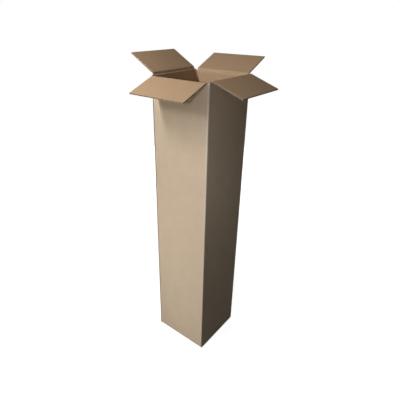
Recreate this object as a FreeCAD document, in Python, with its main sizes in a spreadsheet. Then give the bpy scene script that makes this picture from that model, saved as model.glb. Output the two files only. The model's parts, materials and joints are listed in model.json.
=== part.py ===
import FreeCAD, Part
import math
import os
import Sketcher

# Tall square mailing carton in single-wall corrugated board, standing on end.
# Origin: centre of the underside. +Z runs up the tube, -Y is the front wall and +X the
# right wall. The glued corner is the front left one.
# One sheet makes the four walls, the glue lap and eight flaps. The bottom flaps are closed
# and taped. The top flaps are open, each turned out about the crease at its wall's top.
# Left and right flaps are the outer pair, front and back flaps the inner pair, at both ends.

DRIVING_SIZES = [
    # Inside of the tube
    ("inside_width", 250.0),
    ("inside_depth", 250.0),
    ("inside_height", 1200.0),
    # Board thickness, and the air between two closed layers of flaps
    ("board", 5.0),
    ("layer_gap", 0.3),
    # Gap between two flaps that meet, and air across a closed crease
    ("flap_gap", 1.0),
    ("crease_gap", 0.3),
    # Slot between neighbouring flaps: from the outer corner to the flap's side, and how far
    # it runs past the inner pair's crease into the walls
    ("slot_inset", 8.7),
    ("slot_overcut", 3.0),
    # Outer radius of the folded wall corners and of the folded bottom edges
    ("corner_radius", 4.0),
    ("fold_radius", 3.5),
    # Glue lap inside the left wall: width, air to the closed flaps and taper of its ends
    ("lap_width", 35.0),
    ("lap_end_gap", 3.0),
    ("lap_taper", 8.0),
    # Glued corner: the left wall's cut edge stands back from the front, with a groove beside it
    ("seam_setback", 1.2),
    ("seam_depth", 2.5),
    # Paper tape under the bottom seam
    ("tape_width", 60.0),
    ("tape_thickness", 0.2),
    ("tape_end_gap", 4.0),
    # How far each top flap is turned out from upright, in degrees
    ("front_open", 111.3),
    ("right_open", 110.0),
    ("back_open", 65.4),
    ("left_open", 60.2),
]

# Lengths that several features share, written as expressions on the sheet
BOARD = "Sizes.board"
INNER_X = "(Sizes.inside_width / 2)"
INNER_Y = "(Sizes.inside_depth / 2)"
OUTER_X = f"({INNER_X} + {BOARD})"
OUTER_Y = f"({INNER_Y} + {BOARD})"
LAYER = f"({BOARD} + Sizes.layer_gap)"
FLOOR = f"({LAYER} + {BOARD})"
CEILING = f"({FLOOR} + Sizes.inside_height)"
INNER_CREASE = f"({CEILING} + {BOARD})"
OUTER_CREASE = f"({INNER_CREASE} + {LAYER})"
HALF_FLAP_X = f"({OUTER_X} - Sizes.slot_inset)"
HALF_FLAP_Y = f"({OUTER_Y} - Sizes.slot_inset)"
HALF_GAP = "(Sizes.flap_gap / 2)"
CREASE_BACKOFF = "(Sizes.crease_gap / sqrt(2))"
# Cuts pass the surface they open by this much
PAST = f"({BOARD})"
# Points nearer than this are the same, in millimetres
SAME_PLACE = 0.01


def make_sizes(doc):
    """Put the driving sizes in a sheet, one aliased cell each."""
    sheet = doc.addObject("Spreadsheet::Sheet", "Sizes")
    for row, (name, value) in enumerate(DRIVING_SIZES, start=1):
        sheet.set(f"A{row}", str(value))
        sheet.setAlias(f"A{row}", name)
    doc.recompute()


def make_body(doc, name):
    """Start one sub-part."""
    body = doc.addObject("PartDesign::Body", name)
    body.Label = name
    return body


def outlines(body, name, plane_role, loops, height="0"):
    """Sketch closed outlines on a base plane, lifted by height.

    Each stop of a loop is a pair of expressions measured from the origin. Where a stop has
    four, the stretch to the next stop is an arc, and the last two give the arc's centre.
    """
    sketch = body.newObject("Sketcher::SketchObject", name)
    plane = next(item for item in body.Origin.OriginFeatures if item.Role == plane_role)
    sketch.AttachmentSupport = [(plane, "")]
    sketch.MapMode = "FlatFace"
    sketch.setExpression("AttachmentOffset.Base.z", height)
    for loop in loops:
        draw_loop(sketch, loop)
    return sketch


def draw_loop(sketch, loop):
    """Draw one closed outline and bind each of its stops to its expressions."""
    number = sketch.Document.Sizes.evalExpression
    up = FreeCAD.Vector(0, 0, 1)
    stops = [FreeCAD.Vector(number(stop[0]), number(stop[1])) for stop in loop]
    first = sketch.GeometryCount
    starts, ends = [], []
    for here, stop in enumerate(loop):
        begin, finish = stops[here], stops[(here + 1) % len(loop)]
        if len(stop) == 2:
            sketch.addGeometry(Part.LineSegment(begin, finish))
            starts.append(1)
            ends.append(2)
            continue
        centre = FreeCAD.Vector(number(stop[2]), number(stop[3]))
        from_centre, to_centre = begin - centre, finish - centre
        turns_left = from_centre.cross(to_centre).z > 0
        low, high = (from_centre, to_centre) if turns_left else (to_centre, from_centre)
        circle = Part.Circle(centre, up, from_centre.Length)
        angles = [math.atan2(side.y, side.x) for side in (low, high)]
        sketch.addGeometry(Part.ArcOfCircle(circle, *angles))
        starts.append(1 if turns_left else 2)
        ends.append(2 if turns_left else 1)
    for here, stop in enumerate(loop):
        after = (here + 1) % len(loop)
        joint = Sketcher.Constraint("Coincident", first + here, ends[here], first + after, starts[after])
        sketch.addConstraint(joint)
        bind(sketch, "DistanceX", first + here, starts[here], stop[0])
        bind(sketch, "DistanceY", first + here, starts[here], stop[1])
        if len(stop) > 2:
            bind(sketch, "DistanceX", first + here, 3, stop[2])


def bind(sketch, kind, curve, point, side):
    """Hold one coordinate of a curve's start (1), end (2) or centre (3) to an expression."""
    value = sketch.Document.Sizes.evalExpression(side)
    index = sketch.addConstraint(Sketcher.Constraint(kind, -1, 1, curve, point, value))
    sketch.setExpression(f"Constraints[{index}]", side)


def rectangle(x_low, y_low, x_high, y_high):
    """Give the corners of a rectangle between two corners."""
    return [(x_low, y_low), (x_high, y_low), (x_high, y_high), (x_low, y_high)]


def mirrored(loop):
    """Give an outline and its mirror image across the vertical axis."""
    swapped = [[f"-({side})" if place % 2 == 0 else side for place, side in enumerate(stop)]
               for stop in loop]
    return [loop, swapped]


def extrude(body, name, sketch, length, symmetric=False):
    """Add material along the sketch's normal."""
    pad = body.newObject("PartDesign::Pad", name)
    pad.Profile = sketch
    pad.setExpression("Length", length)
    if symmetric:
        pad.SideType = "Symmetric"
    return pad


def cut(body, name, sketch, length, symmetric=False, upward=False):
    """Remove material against the sketch's normal, along it, or both ways."""
    pocket = body.newObject("PartDesign::Pocket", name)
    pocket.Profile = sketch
    pocket.setExpression("Length", length)
    if symmetric:
        pocket.SideType = "Symmetric"
    pocket.Reversed = upward
    return pocket


def round_edges(body, name, base, is_wanted, radius):
    """Round each straight edge of the base whose two ends pass a test."""
    wanted = []
    for number, edge in enumerate(base.Shape.Edges, start=1):
        ends = [vertex.Point for vertex in edge.Vertexes]
        if len(ends) == 2 and is_wanted(*ends):
            wanted.append(f"Edge{number}")
    fillet = body.newObject("PartDesign::Fillet", name)
    fillet.Base = (base, wanted)
    fillet.setExpression("Radius", radius)
    return fillet


def add_walls(body):
    """Raise four walls round the inside, with three folded corners and the glued one."""
    plan = outlines(body, "wall_plan", "XY_Plane", [
        rectangle(f"-{OUTER_X}", f"-{OUTER_Y}", OUTER_X, OUTER_Y),
        rectangle(f"-{INNER_X}", f"-{INNER_Y}", INNER_X, INNER_Y),
    ])
    walls = extrude(body, "walls", plan, OUTER_CREASE)
    body.Document.recompute()
    outer_x = body.Document.Sizes.evalExpression(OUTER_X)
    outer_y = body.Document.Sizes.evalExpression(OUTER_Y)

    def at_folded_corner(start, end):
        upright = math.dist((start.x, start.y), (end.x, end.y)) < SAME_PLACE
        outside = math.dist((abs(start.x), abs(start.y)), (outer_x, outer_y)) < SAME_PLACE
        glued = start.x < 0 and start.y < 0
        return upright and outside and not glued

    round_edges(body, "folded_corners", walls, at_folded_corner, "Sizes.corner_radius")


def add_glued_seam(body):
    """Turn the front wall in towards its lap and set the left wall's cut edge back behind it.

    A groove is left between the two.
    """
    turn_in = f"-{INNER_X} + Sizes.corner_radius"
    above_floor = "(Sizes.corner_radius - Sizes.seam_depth)"
    floor_end = f"{turn_in} - sqrt(Sizes.corner_radius ^ 2 - {above_floor} ^ 2)"
    plan = outlines(body, "seam_plan", "XY_Plane", [[
        (f"-{OUTER_X} - {PAST}", f"-{OUTER_Y} - {PAST}"),
        (turn_in, f"-{OUTER_Y} - {PAST}"),
        (turn_in, f"-{OUTER_Y}", turn_in, f"-{OUTER_Y} + Sizes.corner_radius"),
        (floor_end, f"-{OUTER_Y} + Sizes.seam_depth"),
        (f"-{INNER_X}", f"-{OUTER_Y} + Sizes.seam_depth"),
        (f"-{INNER_X}", f"-{OUTER_Y} + Sizes.seam_setback"),
        (f"-{OUTER_X} - {PAST}", f"-{OUTER_Y} + Sizes.seam_setback"),
    ]])
    cut(body, "glued_seam", plan, OUTER_CREASE, upward=True)


def add_scored_tops(body, name, plane_role, outer, crease, half_flap):
    """Bevel the tops of two facing walls inwards at 45 degrees, along their flaps' creases."""
    edge = f"{crease} - {CREASE_BACKOFF}"
    profile = outlines(body, f"{name}_profile", plane_role, mirrored([
        (f"{outer} + {PAST}", edge),
        (outer, edge),
        (f"{outer} - {BOARD}", f"{edge} - {BOARD}"),
        (f"{outer} - {BOARD}", f"{OUTER_CREASE} + {PAST}"),
        (f"{outer} + {PAST}", f"{OUTER_CREASE} + {PAST}"),
    ]))
    cut(body, name, profile, f"2 * {half_flap}", symmetric=True)


def add_slots(body):
    """Open the slots between neighbouring flaps, at the top and the bottom of each corner."""
    past_x = f"{OUTER_X} + {PAST}"
    past_y = f"{OUTER_Y} + {PAST}"
    right_squares = [
        rectangle(HALF_FLAP_X, HALF_FLAP_Y, past_x, past_y),
        rectangle(HALF_FLAP_X, f"-({past_y})", past_x, f"-{HALF_FLAP_Y}"),
    ]
    squares = [square for right in right_squares for square in mirrored(right)]
    depth = f"{LAYER} + Sizes.slot_overcut + {PAST}"
    top = outlines(body, "top_slot_plan", "XY_Plane", squares, f"{INNER_CREASE} - Sizes.slot_overcut")
    cut(body, "top_slots", top, depth, upward=True)
    bottom = outlines(body, "bottom_slot_plan", "XY_Plane", squares, f"{LAYER} + Sizes.slot_overcut")
    cut(body, "bottom_slots", bottom, depth)


def add_bottom_fold(body, name, plane_role, outer, level, inner, length):
    """End two facing walls at a level, with the rounded fold of their bottom flaps."""
    turn_up = f"{level} + Sizes.fold_radius"
    turn_out = f"{outer} - Sizes.fold_radius"
    profile = outlines(body, f"{name}_profile", plane_role, mirrored([
        (inner, f"-{PAST}"),
        (f"{outer} + {PAST}", f"-{PAST}"),
        (f"{outer} + {PAST}", turn_up),
        (outer, turn_up, turn_out, turn_up),
        (turn_out, level),
        (inner, level),
    ]))
    cut(body, name, profile, f"2 * {length} + 2 * {PAST}", symmetric=True)


def add_bottom_flaps(body, name, plane_role, level, inner, half_width):
    """Close two facing bottom flaps so that they nearly meet, at a level."""
    profile = outlines(body, f"{name}_profile", plane_role, mirrored(
        rectangle(HALF_GAP, level, inner, f"{level} + {BOARD}")))
    extrude(body, name, profile, f"2 * {half_width}", symmetric=True)


def add_glue_lap(body):
    """Lay the glue lap on the left wall's inside, with tapered ends clear of closed flaps."""
    start = f"-{INNER_Y}"
    edge = f"-{INNER_Y} + Sizes.lap_width"
    foot = f"{FLOOR} + Sizes.lap_end_gap"
    head = f"{CEILING} - Sizes.lap_end_gap"
    profile = outlines(body, "lap_profile", "YZ_Plane", [[
        (start, foot),
        (edge, f"{foot} + Sizes.lap_taper"),
        (edge, f"{head} - Sizes.lap_taper"),
        (start, head),
    ]], f"-{INNER_X}")
    extrude(body, "glue_lap", profile, BOARD)


def make_carton(doc):
    """Fold the sheet up. The inner pair of flaps is creased one layer inside the outer pair."""
    body = make_body(doc, "carton")
    body.setExpression("Placement.Base.z", "Sizes.tape_thickness")
    add_walls(body)
    add_glued_seam(body)
    add_scored_tops(body, "front_back_score", "YZ_Plane", OUTER_Y, INNER_CREASE, HALF_FLAP_X)
    add_scored_tops(body, "left_right_score", "XZ_Plane", OUTER_X, OUTER_CREASE, HALF_FLAP_Y)
    add_slots(body)
    add_bottom_fold(body, "front_back_fold", "YZ_Plane", OUTER_Y, LAYER, HALF_FLAP_Y, OUTER_X)
    add_bottom_flaps(body, "outer_bottom_flaps", "XZ_Plane", "0", INNER_X, HALF_FLAP_Y)
    add_bottom_flaps(body, "inner_bottom_flaps", "YZ_Plane", LAYER, INNER_Y, HALF_FLAP_X)
    add_bottom_fold(body, "left_right_fold", "XZ_Plane", OUTER_X, "0", INNER_X, OUTER_Y)
    add_glue_lap(body)
    return body


def make_flap(doc, name, open_size, side):
    """Cut one top flap upright on its crease, then turn it out and set it on its wall.

    In its own frame the crease lies along X, the flap stands along +Z and -Y is outwards.
    side is front, right, back or left.
    """
    turn = {"front": 0, "right": 90, "back": 180, "left": -90}[side]
    on_x_wall = side in ("right", "left")
    reach = OUTER_X if on_x_wall else OUTER_Y
    half_width = HALF_FLAP_Y if on_x_wall else HALF_FLAP_X
    crease = OUTER_CREASE if on_x_wall else INNER_CREASE
    out_x = {"right": 1, "left": -1}.get(side, 0)
    out_y = {"back": 1, "front": -1}.get(side, 0)

    body = make_body(doc, name)
    length = f"{reach} - {HALF_GAP}"
    profile = outlines(body, f"{name}_profile", "YZ_Plane", [[
        ("0", CREASE_BACKOFF),
        (BOARD, f"{CREASE_BACKOFF} + {BOARD}"),
        (BOARD, length),
        ("0", length),
    ]])
    extrude(body, f"{name}_sheet", profile, f"2 * {half_width}", symmetric=True)
    place = f"vector({out_x} * {OUTER_X}; {out_y} * {OUTER_Y}; {crease} + Sizes.tape_thickness)"
    body.setExpression("Placement", f"placement({place}; rotation({turn}; 0; Sizes.{open_size}))")
    return body


def make_tape(doc):
    """Lay the tape along the seam between the outer bottom flaps, on their underside."""
    body = make_body(doc, "bottom_tape")
    half_length = f"({HALF_FLAP_Y} - Sizes.tape_end_gap)"
    plan = outlines(body, "tape_plan", "XY_Plane", [
        rectangle("-Sizes.tape_width / 2", f"-{half_length}", "Sizes.tape_width / 2", half_length),
    ])
    extrude(body, "tape_strip", plan, "Sizes.tape_thickness")
    return body


def check(doc, bodies):
    """Stop before anything is written if a feature failed or a solid isn't sound."""
    for item in doc.Objects:
        if "Invalid" in item.State or "Error" in item.State:
            raise RuntimeError(f"{item.Label} failed: {item.State}")
    for body in bodies:
        shape = body.Shape
        if shape.isNull() or not shape.isValid() or len(shape.Solids) != 1:
            raise RuntimeError(f"{body.Label} isn't one sound solid")


def report(bodies):
    """Print each piece's volume and the heights that it spans."""
    for body in bodies:
        box = body.Shape.BoundBox
        cubic_cm = body.Shape.Volume / 1000
        print(f"{body.Label}: {cubic_cm:.1f} cm3, z {box.ZMin:.2f} to {box.ZMax:.2f} mm")


def main():
    doc = FreeCAD.newDocument("MailingCarton")
    make_sizes(doc)
    bodies = [
        make_carton(doc),
        make_flap(doc, "front_flap", "front_open", "front"),
        make_flap(doc, "right_flap", "right_open", "right"),
        make_flap(doc, "back_flap", "back_open", "back"),
        make_flap(doc, "left_flap", "left_open", "left"),
        make_tape(doc),
    ]
    doc.recompute()
    check(doc, bodies)
    report(bodies)
    os.makedirs("parts", exist_ok=True)
    for body in bodies:
        body.Shape.exportStep(f"parts/{body.Label}.step")


main()
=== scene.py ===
"""Looks of a tall square cardboard mailing tube, standing on end with its top flaps out.

The tube is one sheet of single-wall board. Each of its three papers (outer liner, fluting and
inner liner) is a closed thin sheet, worked out on a grid over the flat blank: columns run
round the tube and rows run along the flutes. Lengths are metres and angles are degrees.
"""

import json
import logging
import math
from dataclasses import dataclass
from enum import Enum

import bpy
import numpy as np
from mathutils import Matrix, Vector
from numpy.typing import NDArray


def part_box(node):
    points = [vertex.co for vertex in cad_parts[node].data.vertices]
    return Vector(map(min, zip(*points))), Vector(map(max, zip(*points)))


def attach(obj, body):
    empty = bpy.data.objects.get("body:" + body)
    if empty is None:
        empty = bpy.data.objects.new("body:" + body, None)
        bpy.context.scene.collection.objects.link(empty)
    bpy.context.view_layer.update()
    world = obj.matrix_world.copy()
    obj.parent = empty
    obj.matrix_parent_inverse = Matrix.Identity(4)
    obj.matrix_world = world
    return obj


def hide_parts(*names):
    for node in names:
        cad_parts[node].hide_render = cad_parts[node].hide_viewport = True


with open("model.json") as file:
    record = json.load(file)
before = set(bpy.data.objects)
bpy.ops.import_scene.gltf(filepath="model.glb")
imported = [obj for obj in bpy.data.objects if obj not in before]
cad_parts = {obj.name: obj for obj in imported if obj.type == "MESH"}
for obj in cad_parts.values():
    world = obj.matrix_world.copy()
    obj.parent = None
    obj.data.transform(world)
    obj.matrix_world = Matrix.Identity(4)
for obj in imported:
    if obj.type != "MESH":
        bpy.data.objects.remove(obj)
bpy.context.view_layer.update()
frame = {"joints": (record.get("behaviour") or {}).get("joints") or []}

LOG = logging.getLogger("mailing_tube")
BLANK_MAP = "blank"
WEAR_AND_LIGHT = "wear"
SHARP_ANGLE = 40.0
POINTS_TO_A_FLUTE = 8
# Stands for the distance of points that a cut or fold is nowhere near.
FAR = 1.0

Grid = NDArray[np.float64]
Mask = NDArray[np.bool_]


class Side(Enum):
    """A wall of the tube, by how far it is turned from the front, anticlockwise from above."""

    FRONT = 0
    RIGHT = 90
    BACK = 180
    LEFT = 270

    @property
    def across(self) -> Grid:
        """Level direction along the wall, to the right as seen from outside."""
        turn = math.radians(self.value)
        return np.array([math.cos(turn), math.sin(turn), 0.0])

    @property
    def outward(self) -> Grid:
        """Level direction out of the wall."""
        turn = math.radians(self.value)
        return np.array([math.sin(turn), -math.cos(turn), 0.0])

    @property
    def flap(self) -> str:
        """Name of the top flap on this wall, which is also its node and its body."""
        return f"{self.name.lower()}_flap"


class Paper(Enum):
    """A paper of the board, named as its pieces are."""

    OUTER_LINER = "outer_liner"
    FLUTING = "fluting"
    INNER_LINER = "inner_liner"


def soft_minimum(first: Grid, second: float, reach: float) -> Grid:
    """Give the lesser of two values, with the corner where they cross rounded.

    The share h = 1/2 + (second - first) / (2 reach), held to 0..1, mixes the two, and
    reach * h * (1 - h) is taken off the mix.

    Args:
        first: Values along a slope.
        second: Level that the slope runs up to.
        reach: How far either side of the crossing the rounding runs.

    Returns:
        The rounded lesser value, with the shape of first.
    """
    share = np.clip(0.5 + (second - first) / (2 * reach), 0.0, 1.0)
    return second * (1 - share) + first * share - reach * share * (1 - share)


def fade(distance: Grid, reach: float) -> Grid:
    """Give a bell that is 1 at distance 0 and falls as exp(-(distance / reach) squared)."""
    return np.exp(-np.square(distance / reach))


def ragged(along: Grid, depth: float, seed: int) -> Grid:
    """Give the small bites of a knife-cut edge, from 0 to -depth.

    It is a sum of five sines whose wavelengths run from 31 down to 2.3 mm, with their
    phases drawn from the seed, scaled into the range.

    Args:
        along: Distance along the edge.
        depth: Deepest bite.
        seed: Draws the phases.

    Returns:
        Offsets with the shape of along.
    """
    waves = np.geomspace(0.031, 0.0023, 5)
    phases = np.random.default_rng(seed).uniform(0, 2 * np.pi, waves.size)
    total = np.sin(2 * np.pi * along[..., None] / waves + phases).mean(-1)
    return depth * (total - 1) / 2


def put_in_scene(name: str, data: bpy.types.ID) -> bpy.types.Object:
    """Make an object of a mesh, lamp or camera and link it to the scene."""
    made = bpy.data.objects.new(name, data)
    bpy.context.scene.collection.objects.link(made)
    return made


@dataclass(frozen=True)
class Board:
    """Single-wall corrugated board in A flute.

    liner and medium are the papers' thicknesses, and crease_height is what is left of the
    board where it is crushed flat. A knife's cut takes pinch off the thickness.
    """

    thickness: float = 0.005
    liner: float = 0.00038
    medium: float = 0.00028
    pitch: float = 0.0087
    crease_height: float = 0.0003
    slope_clearance: float = 0.00025
    crease_gap: float = 0.0004
    shoulder: float = 0.003
    pinch: float = 0.0005
    pinch_reach: float = 0.0016
    burr: float = 0.0012

    def height(self, from_crease: Grid) -> Grid:
        """Give the board's height beside a crease, where it is crushed to a 45 degree slope.

        The slope starts the clearance away from the crease, so that the slopes of a wall
        and of its shut flap don't meet, and keeps the crease's height before that.

        Args:
            from_crease: Distance from the crease line along the outer liner.

        Returns:
            Height from the outer face, up to the board's thickness.
        """
        slope = np.maximum(from_crease - self.slope_clearance, self.crease_height)
        return soft_minimum(slope, self.thickness, self.shoulder)

    def span(
        self, paper: Paper, height: Grid, from_cut: Grid, from_end: Grid, along: Grid
    ) -> tuple[Grid, Grid]:
        """Give where one paper lies through the board, measured from the outer face.

        Near a cut edge both faces are pinched together as a bell. Near a cut across the
        flutes the fluting also thickens by the burr. The fluting follows
        swing * cos(2 pi along / pitch) about the middle.

        Args:
            paper: Which paper.
            height: Height of the board at each point.
            from_cut: Distance of each point from the nearest cut edge.
            from_end: Distance of each point from the nearest cut across the flutes.
            along: Distance across the flutes on the flat blank.

        Returns:
            The paper's face on the outer side and its face on the inner side.
        """
        crushed = fade(from_cut, self.pinch_reach)
        bottom = self.pinch / 2 * crushed * height / self.thickness
        top = height - bottom
        room = top - bottom
        skin = np.minimum(self.liner, room / 3)
        if paper is Paper.OUTER_LINER:
            return bottom, bottom + skin
        if paper is Paper.INNER_LINER:
            return top - skin, top
        burr = self.burr * fade(from_end, self.pinch_reach)
        web = np.minimum(self.medium + burr, room - 2 * skin)
        swing = (room - 2 * skin - web) / 2
        middle = (top + bottom) / 2 + swing * np.cos(2 * np.pi * along / self.pitch)
        return middle - web / 2, middle + web / 2


@dataclass(frozen=True)
class Rubbing:
    """How pale the worn and painted-light places are, from 0 to 1, and how far each reaches.

    A folded corner is paled more the higher up it is: by foot + rise * z squared, up to
    the height corner_top. That paling is partly rubbing wear and partly a painted highlight
    where the rounded corner catches light. The crease paling is partly crushed-paper wear and
    partly painted light that lifts the shade in the fold; the cuts and bottom fold are wear.
    """

    # Painted highlight in part: the folded corners pale more the higher up, where the rounded corner
    # catches light.
    corner_foot: float = 0.35
    corner_rise: float = 0.75
    corner_top: float = 1.2
    corner_reach: float = 0.0062
    bottom_fold: float = 0.6
    bottom_fold_rows: float = 3.0
    wall_cut: float = 0.7
    lap_cut: float = 0.6
    cut_reach: float = 0.0015
    # Painted light in part: the crease paling lifts the shade in the fold, widest on the inner liner.
    crease: float = 0.8
    crease_reach: float = 0.0012
    inner_crease_reach: float = 0.0035

    def of_crease(self, paper: Paper, from_crease: Grid) -> Grid:
        """Give the paling beside a top crease, which is widest on the inner liner.

        It is partly crushed-paper wear and partly painted light that lifts the shade in the fold.
        """
        reach = self.inner_crease_reach if paper is Paper.INNER_LINER else self.crease_reach
        return self.crease * fade(from_crease, reach)


@dataclass
class Sheet:
    """A closed thin sheet between two grids of points.

    low and high have rows by columns by 3 numbers. Columns cross rows gives the direction
    out of low. blank and wear are the points' places on the flat blank and
    their share of the pale colour, which stands for wear and for painted light, and kept says
    which cells between the points are there, which is all of them without it.
    """

    name: str
    low: Grid
    high: Grid
    blank: Grid
    wear: Grid
    kept: Mask | None = None

    def mirrored(self) -> "Sheet":
        """Give the same sheet with its columns in reverse, so that low faces the other way."""
        grids = (grid[:, ::-1] for grid in (self.low, self.high, self.blank, self.wear))
        return Sheet(self.name, *grids)

    def faces(self) -> tuple[NDArray[np.int64], NDArray[np.int64]]:
        """Work out the faces on both sides and the rim round every kept area.

        Returns:
            Four corners for each face of the two sides, and for each face of the rim.
        """
        rows, columns = self.low.shape[:2]
        low = np.arange(rows * columns).reshape(rows, columns)
        high = low + rows * columns
        kept = np.ones((rows - 1, columns - 1), bool) if self.kept is None else self.kept
        j, i = np.nonzero(kept)
        under = np.stack([low[j, i], low[j, i + 1], low[j + 1, i + 1], low[j + 1, i]], 1)
        over = np.stack([high[j, i], high[j + 1, i], high[j + 1, i + 1], high[j, i + 1]], 1)
        padded = np.pad(kept, 1)
        here = padded[1:-1, 1:-1]
        rims = []
        for beyond, first, second in (
            (padded[:-2, 1:-1], (0, 1), (0, 0)),
            (padded[2:, 1:-1], (1, 0), (1, 1)),
            (padded[1:-1, :-2], (0, 0), (1, 0)),
            (padded[1:-1, 2:], (1, 1), (0, 1)),
        ):
            j, i = np.nonzero(here & ~beyond)
            start = (j + first[0], i + first[1])
            stop = (j + second[0], i + second[1])
            rims.append(np.stack([low[start], low[stop], high[stop], high[start]], 1))
        return np.concatenate([under, over]), np.concatenate(rims)

    def build(self, face: bpy.types.Material, cut: bpy.types.Material) -> bpy.types.Object:
        """Make the sheet's object, smooth along its curves and sharp at its rim.

        Args:
            face: Material of the two sides.
            cut: Material of the rim.

        Returns:
            The new object, which sits at the origin.
        """
        sides, rim = self.faces()
        corners = np.concatenate([sides, rim])
        used, compact = np.unique(corners, return_inverse=True)
        points = np.concatenate([self.low.reshape(-1, 3), self.high.reshape(-1, 3)])[used]
        flat = np.tile(self.blank.reshape(-1, 2), (2, 1))[used]
        wear = np.tile(self.wear.ravel(), 2)[used]
        compact = compact.reshape(corners.shape)

        mesh = bpy.data.meshes.new(self.name)
        mesh.from_pydata(points, [], compact)
        mesh.materials.append(face)
        mesh.materials.append(cut)
        is_rim = np.arange(len(corners)) >= len(sides)
        mesh.polygons.foreach_set("material_index", is_rim.astype(np.int32))
        mesh.uv_layers.new(name=BLANK_MAP).uv.foreach_set("vector", flat[compact.ravel()].ravel())
        layer = mesh.attributes.new(WEAR_AND_LIGHT, "FLOAT", "POINT")
        layer.data.foreach_set("value", wear.astype(np.float32))
        mesh.polygons.foreach_set("use_smooth", np.ones(len(corners), bool))
        mesh.update()
        mesh.set_sharp_from_angle(angle=math.radians(SHARP_ANGLE))
        return put_in_scene(self.name, mesh)


class Wiring:
    """Adds and joins the nodes of one shader tree."""

    def __init__(self, tree: bpy.types.ShaderNodeTree) -> None:
        """Start on an emptied tree."""
        self.tree = tree
        tree.nodes.clear()

    def add(self, kind: str, **settings: object) -> bpy.types.Node:
        """Add a node.

        Args:
            kind: Blender's name of the node, without "ShaderNode" where it starts with that.
            settings: Properties of the node, or with a capital first letter and _ for a
                blank, values or links of its inputs.

        Returns:
            The new node.
        """
        prefix = "" if kind.startswith("NodeGroup") else "ShaderNode"
        node = self.tree.nodes.new(prefix + kind)
        for name, value in settings.items():
            if name[0].isupper():
                self.feed(node.inputs[name.replace("_", " ")], value)
            else:
                setattr(node, name, value)
        return node

    def feed(self, socket: bpy.types.NodeSocket, value: object) -> None:
        """Set an input, or join it to another node's output."""
        if isinstance(value, bpy.types.NodeSocket):
            self.tree.links.new(value, socket)
        else:
            socket.default_value = value

    def calculate(
        self, operation: str, *terms: bpy.types.NodeSocket | float, clamp: bool = False
    ) -> bpy.types.NodeSocket:
        """Work out one operation of the Math node on sockets or numbers."""
        node = self.add("Math", operation=operation, use_clamp=clamp)
        for socket, term in zip(node.inputs, terms):
            self.feed(socket, term)
        return node.outputs[0]

    def sum(
        self, *terms: tuple[bpy.types.NodeSocket, float], start: float = 0.0
    ) -> bpy.types.NodeSocket:
        """Add up value sockets, each times its own weight.

        Args:
            terms: Pairs of a socket and its weight.
            start: Number that the sum starts from.

        Returns:
            The socket that holds the sum.
        """
        total: object = start
        for socket, weight in terms:
            total = self.calculate("MULTIPLY_ADD", socket, weight, total)
        return total

    def noise(
        self, place: bpy.types.NodeSocket, stretch: tuple[float, float], detail: float
    ) -> bpy.types.NodeSocket:
        """Give noise about 0 that has so many features for each metre, across and along."""
        scaled = self.add("Mapping", Vector=place, Scale=(*stretch, 1.0))
        cloud = self.add("TexNoise", Vector=scaled.outputs[0], Scale=1.0, Detail=detail)
        return self.sum((cloud.outputs["Fac"], 1.0), start=-0.5)


def new_group(
    name: str, takes: dict[str, str], gives: dict[str, str]
) -> tuple[bpy.types.ShaderNodeTree, Wiring]:
    """Start a node group.

    Args:
        name: Name of the group.
        takes: Name and kind of each input.
        gives: Name and kind of each output.

    Returns:
        The group and its wiring.
    """
    tree = bpy.data.node_groups.new(name, "ShaderNodeTree")
    for side, sockets in (("INPUT", takes), ("OUTPUT", gives)):
        for label, kind in sockets.items():
            tree.interface.new_socket(name=label, in_out=side, socket_type=f"NodeSocket{kind}")
    return tree, Wiring(tree)


def paper_fibres() -> bpy.types.ShaderNodeTree:
    """Make the group for the look of recycled kraft: clouds, fibres and flecks.

    Clouds are noise of about 50 mm and 6 mm. Fibres are noise about 2 mm long across the flutes
    and 0.3 mm wide. Flecks are the middles of 1 mm cells, where a wider noise is high.

    Returns:
        The group. Its shade and height swing about 0, and its fleck mask is 0 to 1.
    """
    tree, wires = new_group(
        "paper_fibres",
        {"Place": "Vector"},
        {"Shade": "Float", "Height": "Float", "Fleck": "Float"},
    )
    place = wires.add("NodeGroupInput").outputs["Place"]
    broad = wires.noise(place, (22.0, 14.0), 3.0)
    cloudy = wires.noise(place, (190.0, 150.0), 4.0)
    fibres = wires.noise(place, (520.0, 3400.0), 2.0)
    cells = wires.add("TexVoronoi", Vector=place, Scale=900.0)
    patches = wires.noise(place, (160.0, 160.0), 1.0)
    fleck = wires.add(
        "MapRange",
        interpolation_type="SMOOTHSTEP",
        Value=cells.outputs["Distance"],
        From_Min=wires.sum((patches, 0.5), start=0.06),
        From_Max=0.0,
    )
    wires.add(
        "NodeGroupOutput",
        Shade=wires.sum((broad, 0.8), (cloudy, 0.9), (fibres, 0.7)),
        Height=wires.sum((cloudy, 0.4), (fibres, 0.8)),
        Fleck=fleck.outputs[0],
    )
    return tree


def flute_lines() -> bpy.types.ShaderNodeTree:
    """Make the group for flutes that show through a liner.

    It is a cosine of the distance across the flutes, with the flute's pitch as its period,
    bent a little by wide noise.

    Returns:
        The group. Its ridge swings from -1 to 1.
    """
    tree, wires = new_group("flute_lines", {"Place": "Vector", "Pitch": "Float"}, {"Ridge": "Float"})
    source = wires.add("NodeGroupInput")
    across = wires.add("SeparateXYZ", Vector=source.outputs["Place"]).outputs["X"]
    sway = wires.noise(source.outputs["Place"], (30.0, 6.0), 1.0)
    bent = wires.sum((across, 2 * math.pi), (sway, 0.006))
    turns = wires.calculate("DIVIDE", bent, source.outputs["Pitch"])
    wires.add("NodeGroupOutput", Ridge=wires.calculate("COSINE", turns))
    return tree


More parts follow.
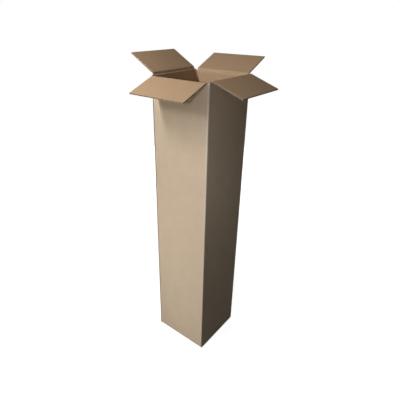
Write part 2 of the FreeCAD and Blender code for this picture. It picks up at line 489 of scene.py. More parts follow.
def rubbed_folds() -> bpy.types.ShaderNodeTree:
    """Make the group that turns a colour paler at folds and edges.

    At cuts the paling is wear; at folded corners and creases it is partly wear and partly
    painted light. Its share is the wear attribute, broken up by noise of 5 by
    11 mm.

    Returns:
        The group, which gives a colour.
    """
    tree, wires = new_group(
        "rubbed_folds",
        {"Place": "Vector", "Color": "Color", "Rubbed": "Color", "Amount": "Float"},
        {"Color": "Color"},
    )
    source = wires.add("NodeGroupInput")
    worn = wires.add("Attribute", attribute_name=WEAR_AND_LIGHT).outputs["Fac"]
    patches = wires.noise(source.outputs["Place"], (200.0, 90.0), 3.0)
    torn = wires.sum((patches, 1.6), start=0.85)
    broken = wires.calculate("MULTIPLY", worn, torn, clamp=True)
    share = wires.calculate("MULTIPLY", broken, source.outputs["Amount"])
    plain, rubbed = source.outputs["Color"], source.outputs["Rubbed"]
    mix = wires.add("MixRGB", Fac=share, Color1=plain, Color2=rubbed)
    wires.add("NodeGroupOutput", Color=mix.outputs[0])
    return tree


@dataclass(frozen=True)
class PaperFinish:
    """How one paper looks. Colours are linear red, green and blue, and relief is in metres."""

    name: str
    color: tuple[float, float, float]
    rubbed: tuple[float, float, float]
    rubbed_share: float = 0.75
    contrast: float = 0.10
    roughness: float = 0.86
    roughness_swing: float = 0.12
    fleck: float = 0.12
    fleck_color: tuple[float, float, float] = (0.45, 0.36, 0.28)
    ridge_shade: float = 0.012
    ridge_height: float = 0.35
    fibre_height: float = 0.5
    relief: float = 0.00016
    relief_strength: float = 0.8
    gloss: float = 0.22

    def shade_of(self, share: float) -> tuple[float, float, float, float]:
        """Give the colour made lighter or darker by a share."""
        return (*(min(1.0, part * (1 + share)) for part in self.color), 1.0)

    def material(self, groups: "PaperGroups", pitch: float) -> bpy.types.Material:
        """Make the material.

        Args:
            groups: The node groups that all papers use.
            pitch: Pitch of the flutes under the paper.

        Returns:
            The new material.
        """
        made = bpy.data.materials.new(self.name)
        made.use_nodes = True
        wires = Wiring(made.node_tree)
        place = wires.add("UVMap", uv_map=BLANK_MAP).outputs["UV"]
        fibres = wires.add("Group", node_tree=groups.fibres, Place=place).outputs
        ridge = wires.add("Group", node_tree=groups.flutes, Place=place, Pitch=pitch).outputs["Ridge"]
        ridge_tone = self.ridge_shade / self.contrast / 2
        paper = wires.add(
            "MixRGB",
            Fac=wires.sum((fibres["Shade"], 1.0), (ridge, ridge_tone), start=0.5),
            Color1=self.shade_of(-self.contrast),
            Color2=self.shade_of(self.contrast),
        )
        flecked = wires.add(
            "MixRGB",
            blend_type="MULTIPLY",
            Fac=wires.sum((fibres["Fleck"], self.fleck)),
            Color1=paper.outputs[0],
            Color2=(*self.fleck_color, 1.0),
        )
        worn = wires.add(
            "Group",
            node_tree=groups.rubbed,
            Place=place,
            Color=flecked.outputs[0],
            Rubbed=(*self.rubbed, 1.0),
            Amount=self.rubbed_share,
        )
        height = wires.sum((fibres["Height"], self.fibre_height), (ridge, self.ridge_height))
        bump = wires.add("Bump", Strength=self.relief_strength, Distance=self.relief, Height=height)
        shader = wires.add(
            "BsdfPrincipled",
            Base_Color=worn.outputs[0],
            Roughness=wires.sum((fibres["Shade"], self.roughness_swing), start=self.roughness),
            Specular_IOR_Level=self.gloss,
            Normal=bump.outputs[0],
        )
        wires.add("OutputMaterial", Surface=shader.outputs[0])
        return made


@dataclass
class PaperGroups:
    """The node groups that all papers use."""

    fibres: bpy.types.ShaderNodeTree
    flutes: bpy.types.ShaderNodeTree
    rubbed: bpy.types.ShaderNodeTree


# The second colour of each finish is its pale colour, used for wear and for the painted light at
# folded corners and creases.
OUTER_KRAFT = PaperFinish("kraft_outer_liner", (0.560, 0.440, 0.313), (0.70, 0.64, 0.57))
# The inner liner's pale colour also paints light over the shade in the folds of the top creases.
INNER_KRAFT = PaperFinish(
    "kraft_inner_liner", (0.436, 0.287, 0.170), (0.54, 0.40, 0.28), contrast=0.08
)
FLUTE_KRAFT = PaperFinish(
    "kraft_fluting", (0.390, 0.285, 0.190), (0.52, 0.42, 0.31), ridge_height=0.0
)
# The cut-edge colour is darkened as painted shade, for the shadowed open flutes of the raw board
# edge.
CUT_KRAFT_PAINTED_SHADE = PaperFinish(
    "kraft_cut_edge", (0.370, 0.280, 0.186), (0.43, 0.34, 0.24), contrast=0.14, fleck=0.2
)
TAPE_KRAFT = PaperFinish(
    "gummed_kraft_tape",
    (0.470, 0.340, 0.215),
    (0.56, 0.44, 0.31),
    contrast=0.07,
    roughness=0.62,
    ridge_height=0.08,
    gloss=0.4,
)


class Stationery:
    """Every finish of the carton, made once."""

    def __init__(self, board: Board) -> None:
        """Make the materials for a board."""
        groups = PaperGroups(paper_fibres(), flute_lines(), rubbed_folds())
        self.outer = OUTER_KRAFT.material(groups, board.pitch)
        self.inner = INNER_KRAFT.material(groups, board.pitch)
        self.fluting = FLUTE_KRAFT.material(groups, board.pitch)
        self.cut = CUT_KRAFT_PAINTED_SHADE.material(groups, board.pitch)
        self.tape = TAPE_KRAFT.material(groups, board.pitch)

    def of_paper(self, paper: Paper) -> bpy.types.Material:
        """Give the finish of one paper's sides."""
        return {
            Paper.OUTER_LINER: self.outer,
            Paper.FLUTING: self.fluting,
            Paper.INNER_LINER: self.inner,
        }[paper]


def dress(piece: bpy.types.Object, body: str, node: str) -> None:
    """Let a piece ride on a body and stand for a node."""
    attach(piece, body)
    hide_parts(node)
    LOG.info("%s on %s: %d faces", piece.name, body, len(piece.data.polygons))


@dataclass(frozen=True)
class Crease:
    """Where one top flap is hinged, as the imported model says."""

    side: Side
    height: float
    open_angle: float


def read_creases() -> dict[Side, Crease]:
    """Read each top flap's crease from the joints. A closed flap is 90 degrees in from upright.

    Returns:
        The crease of each side.
    """
    found = {}
    for side in Side:
        joint = next(item for item in frame["joints"] if item["child"] == side.flap)
        open_angle = -joint["range_deg"][0] - 90
        found[side] = Crease(side, joint["pos_m"][2], open_angle)
    return found


def flute_columns(low: float, high: float, pitch: float) -> Grid:
    """Give the places at which fluting needs a point."""
    steps = round((high - low) / pitch * POINTS_TO_A_FLUTE)
    return np.linspace(low, high, steps + 1)


def panel_columns(paper: Paper, half: float, pitch: float) -> Grid:
    """Give the places across one panel at which a paper needs a point.

    A liner has five places within 4.5 mm of each side, and 41 even ones between, which
    start 9 mm in.
    """
    if paper is Paper.FLUTING:
        return flute_columns(-half, half, pitch)
    beside = np.array([0.0, 0.0006, 0.0014, 0.0026, 0.0045])
    middle = np.linspace(-half + 0.009, half - 0.009, 41)
    return np.concatenate([-half + beside, middle, (half - beside)[::-1]])


# Rows of the carton's sheet: distances of the flat rows from the bottom flap's meeting edge,
# angles round the fold, drops below the slots' ends, and shares of the way to the crease.
FLAT_STEPS = np.array([0.0, 0.0006, 0.0014, 0.0026, 0.005, 0.012, 0.0365, 0.061, 0.0855, 0.11])
FOLD_TURNS = np.radians(np.linspace(0, 90, 8))[1:]
SLOT_DROPS = np.array([0.0075, 0.006, 0.0045, 0.003, 0.0018, 0.0008, 0.0])
CREASE_SHARES = np.array([0.125, 0.25, 0.375, 0.5, 0.625, 0.75, 0.86, 0.94, 1.0])
BOTTOM_ROWS = FLAT_STEPS.size + 1 + FOLD_TURNS.size


@dataclass
class Columns:
    """Columns of the carton's sheet, in order round the tube from the glued corner.

    outer and inner are the level places of the two faces, outward is the direction out of
    the wall, along is the place on the flat blank, crease and level are the heights of the
    wall's top and bottom, and panel says that the column runs on into a bottom flap.
    from_side, from_seam and from_fold are distances from that flap's cut side, the glued
    edge and the nearest folded corner, and bulge is how far the wall swells at mid-height.
    """

    outer: Grid
    inner: Grid
    outward: Grid
    along: Grid
    crease: Grid
    level: Grid
    panel: Mask
    from_side: Grid
    from_seam: Grid
    from_fold: Grid
    bulge: Grid


@dataclass
class Tube:
    """The carton's walls and bottom flaps, folded from one sheet, and its glue lap.

    A post is the uncut board between two slots, which the folded corner runs through. Its
    ends stop short of the creases by post_clearance. The seam is the glued corner.
    """

    board: Board
    creases: dict[Side, Crease]
    corner_radius: float = 0.004
    inner_radius: float = 0.001
    fold_radius: float = 0.002
    fold_clearance: float = 0.0006
    slot_overcut: float = 0.003
    slot_margin: float = 0.009
    post_clearance: float = 0.0012
    post_crush: float = 0.0028
    seam_setback: float = 0.0012
    seam_fold: float = 0.001
    meeting_gap: float = 0.001
    layer_gap: float = 0.0003
    bulge: float = 0.0008
    score_depth: float = 0.00035
    lap_width: float = 0.035
    lap_clearance: float = 0.003
    lap_taper: float = 0.008
    rubbing: Rubbing = Rubbing()

    def __post_init__(self) -> None:
        """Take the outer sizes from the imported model."""
        low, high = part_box("carton")
        self.half = high.x
        self.inside = self.half - self.board.thickness
        self.half_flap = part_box("front_flap")[1].x
        self.foot = low.z
        self.inner_foot = self.foot + self.board.thickness + self.layer_gap
        self.slot_top = min(crease.height for crease in self.creases.values()) - self.slot_overcut
        self.floor = self.inner_foot + self.board.thickness

    def level_of(self, side: Side) -> float:
        """Give how high a wall's bottom flap lies."""
        return self.foot if side in (Side.LEFT, Side.RIGHT) else self.inner_foot

    def columns(self, across: Grid) -> Columns:
        """Lay the columns of four panels, three folded corners and the glued one.

        A straight column lies at u across + half outward. A corner's outer column lies at
        angle t on an arc of the corner's radius, and its inner one at the same angle on a
        small arc inside the tube.

        Args:
            across: Places across one panel, between its slots.

        Returns:
            All columns, in order.
        """
        parts = []
        width = 2 * self.half
        for turn, side in enumerate(Side):
            middle = (turn + 0.5) * width
            if side is Side.FRONT:
                parts.append(self.glued_start(middle))
            parts.append(self.panel(side, across, middle))
            if side is Side.LEFT:
                parts.append(self.raw_end(middle))
            else:
                parts.append(self.corner(side, list(Side)[turn + 1], middle))
        names = Columns.__dataclass_fields__
        return Columns(*(np.concatenate([getattr(part, name) for part in parts]) for name in names))

    @staticmethod
    def straight(
        side: Side, outer: Grid, inner: Grid, outer_out: Grid, inner_out: Grid
    ) -> tuple[Grid, Grid]:
        """Give level places from distances across a wall and out of the tube's middle."""
        face = outer[:, None] * side.across + outer_out[:, None] * side.outward
        back = inner[:, None] * side.across + inner_out[:, None] * side.outward
        return face[:, :2], back[:, :2]

    def one_side(
        self, side: Side, places: tuple[Grid, Grid], along: Grid, **other: Grid
    ) -> Columns:
        """Fill in columns that all belong to one side."""
        count = len(along)
        far = np.full(count, FAR)
        values = {
            "outward": np.tile(side.outward[:2], (count, 1)),
            "crease": np.full(count, self.creases[side].height),
            "level": np.full(count, self.level_of(side)),
            "panel": np.zeros(count, bool),
            "from_side": far,
            "from_seam": far,
            "from_fold": far,
            "bulge": np.zeros(count),
        }
        values.update(other)
        return Columns(outer=places[0], inner=places[1], along=along, **values)

    def panel(self, side: Side, across: Grid, middle: float) -> Columns:
        """Lay one wall between its slots, bulged by a parabola across it."""
        level = np.full(across.size, self.half)
        places = self.straight(side, across, across, level, level - self.board.thickness)
        return self.one_side(
            side,
            places,
            middle + across,
            panel=np.ones(across.size, bool),
            from_side=self.half_flap - np.abs(across),
            from_fold=self.half - np.abs(across),
            bulge=self.bulge * (1 - np.square(across / self.half_flap)),
        )

    def corner(self, side: Side, after: Side, middle: float) -> Columns:
        """Fold one corner, with a shallow score on each side of the arc."""
        turns = np.radians(np.linspace(0, 90, 11))
        approach = np.linspace(0, 1, 5)[1:-1]
        arc_at, small_at = self.half - self.corner_radius, self.inside - self.inner_radius
        outer_u = self.half_flap + approach * (arc_at - self.half_flap)
        inner_u = self.half_flap + approach * (small_at - self.half_flap)
        face_out = self.half - self.score_depth * np.sin(np.pi * approach)
        back_out = np.full(approach.size, self.inside)
        spans = [
            self.straight(side, outer_u, inner_u, face_out, back_out),
            self.straight(
                side,
                arc_at + self.corner_radius * np.sin(turns),
                small_at + self.inner_radius * np.sin(turns),
                arc_at + self.corner_radius * np.cos(turns),
                small_at + self.inner_radius * np.cos(turns),
            ),
            self.straight(after, -outer_u[::-1], -inner_u[::-1], face_out[::-1], back_out),
        ]
        places = tuple(np.concatenate(faces) for faces in zip(*spans))
        count = len(places[0])
        share = np.linspace(0, 1, count + 2)[1:-1]
        reach = self.half - self.half_flap
        start, stop = self.creases[side], self.creases[after]
        blend = share * share * (3 - 2 * share)
        return self.one_side(
            side,
            places,
            middle + self.half_flap + 2 * reach * share,
            crease=start.height + (stop.height - start.height) * blend,
            level=self.level_of(side) + (self.level_of(after) - self.level_of(side)) * blend,
            from_fold=np.abs(share - 0.5) * 2 * reach,
        )

    def glued_start(self, middle: float) -> Columns:
        """Turn the front wall in, as an arc that meets the left wall's inside."""
        turns = np.radians(np.linspace(90, 0, 8))[:-1]
        radius = self.inside - self.half_flap
        share = turns / (math.pi / 2)
        places = self.straight(
            Side.FRONT,
            -self.half_flap - radius * np.sin(turns),
            -self.half_flap - radius * share,
            self.half - radius * (1 - np.cos(turns)),
            np.full(turns.size, self.inside),
        )
        along = middle - self.half_flap - radius * turns
        from_fold = np.full(turns.size, self.seam_fold)
        return self.one_side(Side.FRONT, places, along, from_fold=from_fold)

    def raw_end(self, middle: float) -> Columns:
        """End the left wall in its raw edge, set back from the front."""
        end = self.half - self.seam_setback
        across = end - np.array([0.0055, 0.0036, 0.0022, 0.0012, 0.0005, 0.0])
        level = np.full(across.size, self.half)
        places = self.straight(Side.LEFT, across, across, level, level - self.board.thickness)
        return self.one_side(Side.LEFT, places, middle + across, from_seam=end - across)

    def rows(
        self, ring: Columns, levels: int, plane: float, radius: float, lift: float
    ) -> tuple[Grid, Grid]:
        """Lay the rows of one face of the board over the columns.

        They run from the bottom flaps' meeting edges, round the fold, up the wall, past the
        slots' ends and up to the crease. The corner posts, whose columns have no flap, stop
        a little short of both creases.

        Args:
            ring: The columns.
            levels: How many rows the plain wall has.
            plane: Distance of the wall's face from the tube's middle.
            radius: The face's radius round the bottom fold.
            lift: Height of the face above the outer face of the bottom flap.

        Returns:
            Each point's distance out from the tube's middle, and its height.
        """
        flat = np.append(self.meeting_gap / 2 + FLAT_STEPS, plane - radius)[:, None]
        turns = FOLD_TURNS[:, None]
        over_fold = lift + radius + self.fold_clearance
        foot = ring.level + np.where(ring.panel, over_fold, self.post_clearance)
        top = ring.crease - np.where(ring.panel, self.board.crease_gap, self.post_clearance)
        wall = np.concatenate([[0, 0.003, 0.01], np.linspace(0.03, 1, levels)])[:, None]
        z = np.concatenate([
            ring.level + lift + 0 * flat,
            ring.level + lift + radius * (1 - np.cos(turns)),
            foot + (self.slot_top - self.slot_margin - foot) * wall,
            self.slot_top - SLOT_DROPS[:, None] + 0 * top,
            self.slot_top + (top - self.slot_top) * CREASE_SHARES[:, None],
        ])
        out = np.full(z.shape, plane)
        out[:flat.size] = flat
        out[flat.size:BOTTOM_ROWS] = plane - radius + radius * np.sin(turns)
        return out, z

    def worn(
        self, paper: Paper, ring: Columns, z: Grid, from_cut: Grid, from_crease: Grid
    ) -> Grid:
        """Give the wear of the carton's sheet: the most of its corners, cuts and folds.

        Args:
            paper: Which paper.
            ring: The columns.
            z: Height of each point of the outer face.
            from_cut: Distance of each point from the nearest cut edge.
            from_crease: Distance of each point from its top crease.

        Returns:
            The paling of each point, 0 to 1.
        """
        paling = self.rubbing
        # Partly a painted highlight: the folded corners pale more the higher up.
        corner = paling.corner_foot + paling.corner_rise * np.clip(z, 0, paling.corner_top) ** 2
        arc_middle = BOTTOM_ROWS - 1 - FOLD_TURNS.size // 2
        from_arc = np.abs(np.arange(len(z))[:, None] - arc_middle).astype(float)
        return np.maximum.reduce([
            corner * fade(ring.from_fold + 0 * z, paling.corner_reach),
            paling.wall_cut * fade(from_cut, paling.cut_reach),
            # Partly painted light: the crease paling lifts the shade in the fold.
            paling.of_crease(paper, from_crease),
            paling.bottom_fold * fade(from_arc, paling.bottom_fold_rows) + 0 * z,
        ])

    def sheet(self, paper: Paper, across: Grid) -> Sheet:
        """Fold one paper of the whole carton.

        A point lies at outer + (inner - outer) * w / t, where w is the paper's place in the
        board and t the board's thickness. The corner posts are left out of the bottom rows.

        Args:
            paper: Which paper.
            across: Places across one panel.

        Returns:
            The closed sheet.
        """
        ring = self.columns(across)
        thick = self.board.thickness
        levels = 9 if paper is Paper.FLUTING else 17
        out_face, z_face = self.rows(ring, levels, self.half, self.fold_radius, 0.0)
        out_back, z_back = self.rows(ring, levels, self.inside, self.inner_radius, thick)
        row = np.arange(len(z_face))[:, None]
        in_bottom = row < BOTTOM_ROWS

        swell = ring.bulge * np.sin(np.pi * np.clip(z_face / self.slot_top, 0, 1)) * ~in_bottom
        face = ring.outer + (out_face - self.half + swell)[..., None] * ring.outward
        back = ring.inner + (out_back - self.inside + swell)[..., None] * ring.outward
        outer = np.concatenate([face, z_face[..., None]], -1)
        inner = np.concatenate([back, z_back[..., None]], -1)

        crush = np.where(ring.panel, 0.0, self.post_crush)
        from_crease = np.where(in_bottom, FAR, ring.crease - z_face + crush)
        from_side = np.where(in_bottom, ring.from_side, FAR)
        from_meeting = np.where(in_bottom, out_face - self.meeting_gap / 2, FAR)
        from_foot = np.abs(z_face - z_face[BOTTOM_ROWS])
        from_post_end = np.minimum(np.abs(z_face[-1] - z_face), from_foot)
        from_end = np.minimum(from_meeting, np.where(ring.panel, FAR, from_post_end))
        from_cut = np.minimum.reduce([from_side, from_end, ring.from_seam + 0 * z_face])
        along = ring.along + 0 * z_face
        height = self.board.height(from_crease)
        low, high = self.board.span(paper, height, from_cut, from_end, along)
        chord = (inner - outer) / thick
        return Sheet(
            f"carton_{paper.value}",
            outer + chord * low[..., None],
            outer + chord * high[..., None],
            np.stack([along, np.where(in_bottom, out_face - self.half, z_face)], -1),
            self.worn(paper, ring, z_face, from_cut, from_crease),
            ~in_bottom[:-1] | (ring.panel[:-1] & ring.panel[1:]),
        )

    def lap(self, paper: Paper, spots: Grid) -> Sheet:
        """Lay one paper of the glue lap on the left wall's inside, with tapered ends.

        Its foot rises and its head falls in a straight line from the corner to its edge.

        Args:
            paper: Which paper.
            spots: Distances from the front wall's inside.

        Returns:
            The closed sheet.
        """
        taper = self.lap_clearance + self.lap_taper * spots / self.lap_width
        foot = self.floor + taper
        head = self.creases[Side.FRONT].height - self.board.thickness - taper
        ends = np.array([0, 0.0005, 0.0012, 0.003])
        steps = np.concatenate([ends, np.linspace(0.01, 0.99, 15), 1 - ends[::-1]])
        z = foot + (head - foot) * steps[:, None]
        y = -self.inside + spots + 0 * z
        along = -spots + 0 * z
        from_end = np.minimum(z - foot, head - z)
        from_cut = np.minimum(self.lap_width - spots, from_end)
        height = np.full(z.shape, self.board.thickness)
        low, high = self.board.span(paper, height, from_cut, from_end, along)
        return Sheet(
            f"glue_lap_{paper.value}",
            np.stack([low - self.inside, y, z], -1),
            np.stack([high - self.inside, y, z], -1),
            np.stack([along, z], -1),
            self.rubbing.lap_cut * fade(from_cut, self.rubbing.cut_reach),
        ).mirrored()

    def build(self, finishes: Stationery) -> None:
        """Make every piece of the carton."""
        from_edge = np.array([0.03, 0.022, 0.013, 0.007, 0.0026, 0.0014, 0.0006, 0.0])
        lap_liner = self.lap_width - np.append(self.lap_width, from_edge)
        lap_waves = flute_columns(0.0, self.lap_width, self.board.pitch)
        for paper in Paper:
            walls = self.sheet(paper, panel_columns(paper, self.half_flap, self.board.pitch))
            lap = self.lap(paper, lap_waves if paper is Paper.FLUTING else lap_liner)
            for made in (walls, lap):
                piece = made.build(finishes.of_paper(paper), finishes.cut)
                dress(piece, "tube", "carton")


@dataclass
class TopFlap:
    """One top flap, turned out about its crease. Its cut edges have small bites."""

    board: Board
    crease: Crease
    half_width: float
    wall_half: float
    meeting_gap: float
    bite: float = 0.00022
    bite_reach: float = 0.002
    cut_wear: float = 0.4
    cut_reach: float = 0.0012
    rubbing: Rubbing = Rubbing()

    def sheet(self, paper: Paper, across: Grid) -> Sheet:
        """Cut one paper of the flap and turn it out.

        A point lies at hinge + u across + v up + w in, where up leans out from upright by
        the flap's angle and in stays square to it. Rows are close together on the crushed
        slope beside the crease, and again at the far edge.

        Args:
            paper: Which paper.
            across: Places across the flap.

        Returns:
            The closed sheet.
        """
        side = self.crease.side
        order = list(Side).index(side)
        seed = 10 * order + list(Paper).index(paper)
        length = self.wall_half - self.meeting_gap / 2
        slope = [0.0008, 0.0013, 0.002, 0.0028, 0.0034, 0.004, 0.0046, 0.0052, 0.0058, 0.0066, 0.008]
        edge = length - np.array([0.0044, 0.0026, 0.0016, 0.0009, 0.0004, 0.0])
        middle = np.linspace(0.014, length - 0.008, 9)
        rows = np.concatenate([[self.board.crease_gap], slope, middle, edge])[:, None]
        climb = rows + 0 * across
        wide = across + 0 * rows
        from_end = length - climb
        from_side = self.half_width - np.abs(wide)
        from_cut = np.minimum(from_side, from_end)
        v = climb + ragged(wide, self.bite, seed) * fade(from_end, self.bite_reach)
        u = wide + np.sign(wide) * ragged(v, self.bite, seed + 5) * fade(from_side, self.bite_reach)

        lean = math.radians(self.crease.open_angle)
        upright = np.array([0.0, 0.0, 1.0])
        up = math.cos(lean) * upright + math.sin(lean) * side.outward
        inward = math.sin(lean) * upright - math.cos(lean) * side.outward
        hinge = self.wall_half * side.outward + self.crease.height * upright
        plane = hinge + u[..., None] * side.across + v[..., None] * up
        along = (2 * order + 1) * self.wall_half + wide
        height = self.board.height(climb)
        low, high = self.board.span(paper, height, from_cut, from_end, along)
        # The flap pales at its cuts from wear, and beside its crease partly from wear and partly as
        # painted light over the fold's shade.
        cut_wear = self.cut_wear * fade(from_cut, self.cut_reach)
        return Sheet(
            f"{side.flap}_{paper.value}",
            plane + low[..., None] * inward,
            plane + high[..., None] * inward,
            np.stack([along, self.crease.height + climb], -1),
            np.maximum(cut_wear, self.rubbing.of_crease(paper, climb)),
        )

    def build(self, finishes: Stationery) -> None:
        """Make the flap's three papers."""
        for paper in Paper:
            made = self.sheet(paper, panel_columns(paper, self.half_width, self.board.pitch))
            piece = made.build(finishes.of_paper(paper), finishes.cut)
            dress(piece, self.crease.side.flap, self.crease.side.flap)


@dataclass
class CreaseRoll:
    """The thin roll of crushed paper along one top crease, between wall and flap."""

    crease: Crease
    wall_half: float
    half_width: float
    radius: float = 0.00039
    spokes: int = 16
    squareness: int = 40

    def build(self, finishes: Stationery) -> None:
        """Make the roll: circles of points along the crease, which narrow at its ends.

        The radius at each station is the roll's radius times the square root of
        1 - (x / half) to the power of its squareness, so that it is even along its length.
        """
        side = self.crease.side
        ends = [0.998, 0.9995, 1]
        stations = np.concatenate([[-1, -0.9995, -0.998], np.linspace(-0.99, 0.99, 25), ends])
        count = self.spokes
        turns = 2 * np.pi * np.arange(count) / count
        taper = np.clip(1 - np.abs(stations) ** self.squareness, 1e-4, 1)
        size = self.radius * np.sqrt(taper)
        upright = np.array([0, 0, 1.0])
        ring = np.cos(turns)[:, None] * side.outward + np.sin(turns)[:, None] * upright
        centre = self.wall_half * side.outward + self.crease.height * upright
        axis = centre + stations[:, None, None] * self.half_width * side.across
        points = (axis + size[:, None, None] * ring).reshape(-1, 3)
        station, spoke = np.meshgrid(np.arange(stations.size - 1), np.arange(count), indexing="ij")
        near, beside = station * count + spoke, station * count + (spoke + 1) % count
        walls = np.stack([near, near + count, beside + count, beside], -1).reshape(-1, 4)
        last = count * (stations.size - 1)
        caps = [list(range(count)), list(range(last + count - 1, last - 1, -1))]
        mesh = bpy.data.meshes.new(f"{side.name.lower()}_crease_roll")
        mesh.from_pydata(points.tolist(), [], walls.tolist() + caps)
        mesh.materials.append(finishes.cut)
        across = np.repeat(stations * self.half_width, count)
        blank = np.stack([across, np.tile(turns * self.radius, stations.size)], -1)
        loops = np.array([loop.vertex_index for loop in mesh.loops])
        mesh.uv_layers.new(name=BLANK_MAP).uv.foreach_set("vector", blank[loops].ravel())
        dress(put_in_scene(mesh.name, mesh), "tube", "carton")


@dataclass
class BottomTape:
    """The strip of gummed paper tape under the bottom seam."""

    teeth: float = 0.003
    tooth_depth: float = 0.0016
    ripple: float = 0.00003
    ripple_reach: float = 0.002
    cut_wear: float = 0.6
    cut_reach: float = 0.0012

    def build(self, finishes: Stationery) -> None:
        """Make the strip, whose ends follow the dispenser's saw-toothed knife.

        Each end is pulled in by a triangle wave of the distance across the strip. The top
        is flat, and the underside is drawn up by the ripple as a bell along the seam.
        """
        low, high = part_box("bottom_tape")
        across = np.linspace(low.x, high.x, 81)
        ends = [0.986, 0.994, 1]
        share = np.concatenate([[0, 0.006, 0.014], np.linspace(0.03, 0.97, 24), ends])[:, None]
        saw = self.tooth_depth * np.abs((across / self.teeth) % 1 - 0.5) * 2
        start, stop = low.y + saw, high.y - saw
        y = start + (stop - start) * share
        x = across + 0 * y
        under = low.z + self.ripple * fade(x, self.ripple_reach)
        over = np.full(x.shape, high.z)
        from_cut = np.minimum.reduce([high.x - np.abs(x), y - start, stop - y])
        strip = Sheet(
            "bottom_tape_strip",
            np.stack([x, y, under], -1),
            np.stack([x, y, over], -1),
            np.stack([x, y], -1),
            self.cut_wear * fade(from_cut, self.cut_reach),
        ).mirrored()
        dress(strip.build(finishes.tape, finishes.cut), "tube", "bottom_tape")


@dataclass(frozen=True)
class Lamp:
    """A soft lamp that is aimed at a spot, whose beam opens by its spread in degrees."""

    name: str
    place: tuple[float, float, float]
    aim: tuple[float, float, float]
    width: float
    length: float
    power: float
    long_axis: tuple[float, float, float] = (0.0, 0.0, 1.0)
    spread: float = 180.0

    def build(self) -> None:
        """Make the lamp, with its length along long_axis as near as its aim allows."""
        data = bpy.data.lights.new(self.name, "AREA")
        data.shape = "RECTANGLE"
        data.size = self.width
        data.size_y = self.length
        data.spread = math.radians(self.spread)
        data.energy = self.power
        lamp = put_in_scene(self.name, data)
        back = (Vector(self.place) - Vector(self.aim)).normalized()
        side = Vector(self.long_axis).cross(back).normalized()
        turned = Matrix((side, back.cross(side), back)).transposed().to_4x4()
        lamp.matrix_world = Matrix.Translation(self.place) @ turned
        lamp.visible_camera = False


@dataclass(frozen=True)
class Viewpoint:
    """The photograph's camera: where it stands, how it is turned and what it frames.

    yaw is to the left of +Y, pitch is down and roll is clockwise. focal and centre are in
    pixels of a 400 by 400 picture, and centre counts from its top left.
    """

    place: tuple[float, float, float] = (0.8290, -1.0999, 1.4048)
    yaw: float = 38.70
    pitch: float = 26.63
    roll: float = 0.50
    focal: float = 356.7
    centre: tuple[float, float] = (189.6, 196.9)
    picture: float = 400.0
    sensor: float = 36.0
    near_clip: float = 0.05

    def axes(self) -> tuple[Vector, Vector, Vector]:
        """Give the picture's right and up directions and the one back from the scene."""
        yaw, pitch, roll = (math.radians(angle) for angle in (self.yaw, self.pitch, self.roll))
        level = Vector((math.cos(yaw), math.sin(yaw), 0.0))
        forward = Vector((-math.sin(yaw), math.cos(yaw), 0.0))
        ahead = math.cos(pitch) * forward - math.sin(pitch) * Vector((0.0, 0.0, 1.0))
        above = level.cross(ahead)
        right = math.cos(roll) * level + math.sin(roll) * above
        up = math.cos(roll) * above - math.sin(roll) * level
        return right, up, -ahead

    def build(self) -> None:
        """Make the camera and make it the scene's own."""
        data = bpy.data.cameras.new("photo_camera")
        data.sensor_width = self.sensor
        data.lens = self.focal / self.picture * self.sensor
        data.shift_x = (self.picture / 2 - self.centre[0]) / self.picture
        data.shift_y = (self.centre[1] - self.picture / 2) / self.picture
        data.clip_start = self.near_clip
        camera = put_in_scene("photo_camera", data)
        turned = Matrix(self.axes()).transposed().to_4x4()
        camera.matrix_world = Matrix.Translation(self.place) @ turned
        bpy.context.scene.camera = camera


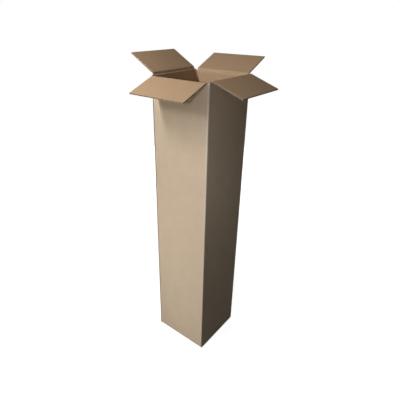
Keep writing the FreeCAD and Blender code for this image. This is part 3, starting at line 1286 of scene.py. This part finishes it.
@dataclass(frozen=True)
class Studio:
    """The pale floor and background, the lamps and the camera.

    The floor sends light back as a surface of floor_tone. The camera sees one of
    floor_shade, with floor_glow added to it near the carton.
    """

    view: Viewpoint = Viewpoint()
    floor_half: float = 40.0
    floor_glow: float = 0.92
    floor_fade: tuple[float, float] = (0.5, 2.2)
    floor_shade: float = 0.5
    floor_tone: float = 0.18
    ambient: float = 0.003
    ambient_color: tuple[float, float, float] = (0.95, 0.97, 1.0)
    camera_lamp_offset: float = 0.17

    def by_sight(
        self, wires: Wiring, light: bpy.types.NodeSocket, look: bpy.types.NodeSocket
    ) -> bpy.types.NodeSocket:
        """Join two shaders: one for the light that falls on things and one to be looked at.

        The second shows to the camera, straight, reflected or through glass.
        """
        path = wires.add("LightPath").outputs
        direct = wires.calculate("MAXIMUM", path["Is Camera Ray"], path["Is Glossy Ray"])
        seen = wires.calculate("MAXIMUM", direct, path["Is Transmission Ray"])
        mix = wires.add("MixShader", Fac=seen)
        wires.feed(mix.inputs[1], light)
        wires.feed(mix.inputs[2], look)
        return mix.outputs[0]

    def floor_material(self) -> bpy.types.Material:
        """Make the floor white to the eye, with the carton's shadow kept.

        Its glow rises smoothly to 1 over floor_fade, in metres from the carton's middle.
        """
        made = bpy.data.materials.new("pale_floor")
        made.use_nodes = True
        wires = Wiring(made.node_tree)
        plain = wires.add("BsdfDiffuse", Color=(self.floor_tone,) * 3 + (1.0,))
        shaded = wires.add("BsdfDiffuse", Color=(self.floor_shade,) * 3 + (1.0,))
        reach = wires.add("VectorMath", operation="LENGTH")
        wires.feed(reach.inputs[0], wires.add("TexCoord").outputs["Object"])
        rise = wires.add(
            "MapRange",
            interpolation_type="SMOOTHSTEP",
            Value=reach.outputs["Value"],
            From_Min=self.floor_fade[0],
            From_Max=self.floor_fade[1],
            To_Min=self.floor_glow,
            To_Max=1.0,
        )
        glow = wires.add("Emission", Strength=rise.outputs[0])
        pale = wires.add("AddShader")
        wires.feed(pale.inputs[0], shaded.outputs[0])
        wires.feed(pale.inputs[1], glow.outputs[0])
        wires.add("OutputMaterial", Surface=self.by_sight(wires, plain.outputs[0], pale.outputs[0]))
        return made

    def world(self) -> None:
        """Make a dim even surround that looks white to the camera."""
        made = bpy.data.worlds.new("studio_surround")
        bpy.context.scene.world = made
        made.use_nodes = True
        wires = Wiring(made.node_tree)
        dim = wires.add("Background", Color=(*self.ambient_color, 1.0), Strength=self.ambient)
        white = wires.add("Background", Color=(1.0, 1.0, 1.0, 1.0), Strength=1.0)
        wires.add("OutputWorld", Surface=self.by_sight(wires, dim.outputs[0], white.outputs[0]))

    def lamps(self) -> list[Lamp]:
        """Give every lamp.

        The two strips and the high key light the carton from the front left. Both strips
        lean back over it, so that the front flap's shadow is soft below it and sharp at
        its left. One lamp is beside the camera, two light the right wall, two the front
        wall and its foot, and one the back. wall_fill is a narrow beam on the right wall.
        """
        right, _, _ = self.view.axes()
        beside = Vector(self.view.place) - self.camera_lamp_offset * right
        rim = (-0.05, -0.13, 1.12)
        lean = (-0.113, 0.744, 0.659)
        return [
            Lamp("near_strip", (-0.285, -0.635, 1.65), rim, 0.042, 0.26, 2.95, lean),
            Lamp("far_strip", (-0.543, -1.980, 2.093), rim, 0.12, 0.40, 13.4, lean),
            Lamp("high_key", (-0.617, -0.94, 2.247), rim, 0.13, 0.13, 4.5),
            Lamp("right_fill", (0.43, -0.69, 1.86), (0.13, 0.0, 1.05), 0.12, 0.12, 0.2),
            Lamp("wall_fill", (0.62, -0.86, 1.55), (0.13, -0.03, 0.74), 0.12, 0.12, 0.1, spread=40.0),
            Lamp("camera_lamp", tuple(beside), (0.0, 0.0, 1.0), 0.031, 0.031, 3.7),
            Lamp("front_fill", (-0.120, -0.730, 0.60), (0.0, -0.13, 0.58), 0.30, 0.30, 1.35),
            Lamp("foot_fill", (0.0, -0.728, 0.12), (0.0, -0.13, 0.08), 0.30, 0.24, 1.30),
            Lamp("rear_fill", (-1.9, 2.1, 0.8), (0.0, 0.0, 0.6), 1.2, 1.2, 32.0),
        ]

    def build(self) -> None:
        """Make the whole studio."""
        bpy.context.scene.view_settings.view_transform = "Standard"
        mesh = bpy.data.meshes.new("floor")
        far = self.floor_half
        corners = [(-far, -far, 0), (far, -far, 0), (far, far, 0), (-far, far, 0)]
        mesh.from_pydata(corners, [], [(0, 1, 2, 3)])
        mesh.materials.append(self.floor_material())
        floor = put_in_scene("floor", mesh)
        self.world()
        for lamp in self.lamps():
            lamp.build()
        self.view.build()


def main() -> None:
    """Build the carton, its flaps, its tape and the studio."""
    logging.basicConfig(level=logging.INFO, format="%(name)s: %(message)s")
    board = Board()
    creases = read_creases()
    finishes = Stationery(board)
    tube = Tube(board, creases)
    tube.build(finishes)
    for crease in creases.values():
        TopFlap(board, crease, tube.half_flap, tube.half, tube.meeting_gap).build(finishes)
        CreaseRoll(crease, tube.half, tube.half_flap).build(finishes)
    BottomTape().build(finishes)
    Studio().build()


if __name__ == "__main__":
    main()
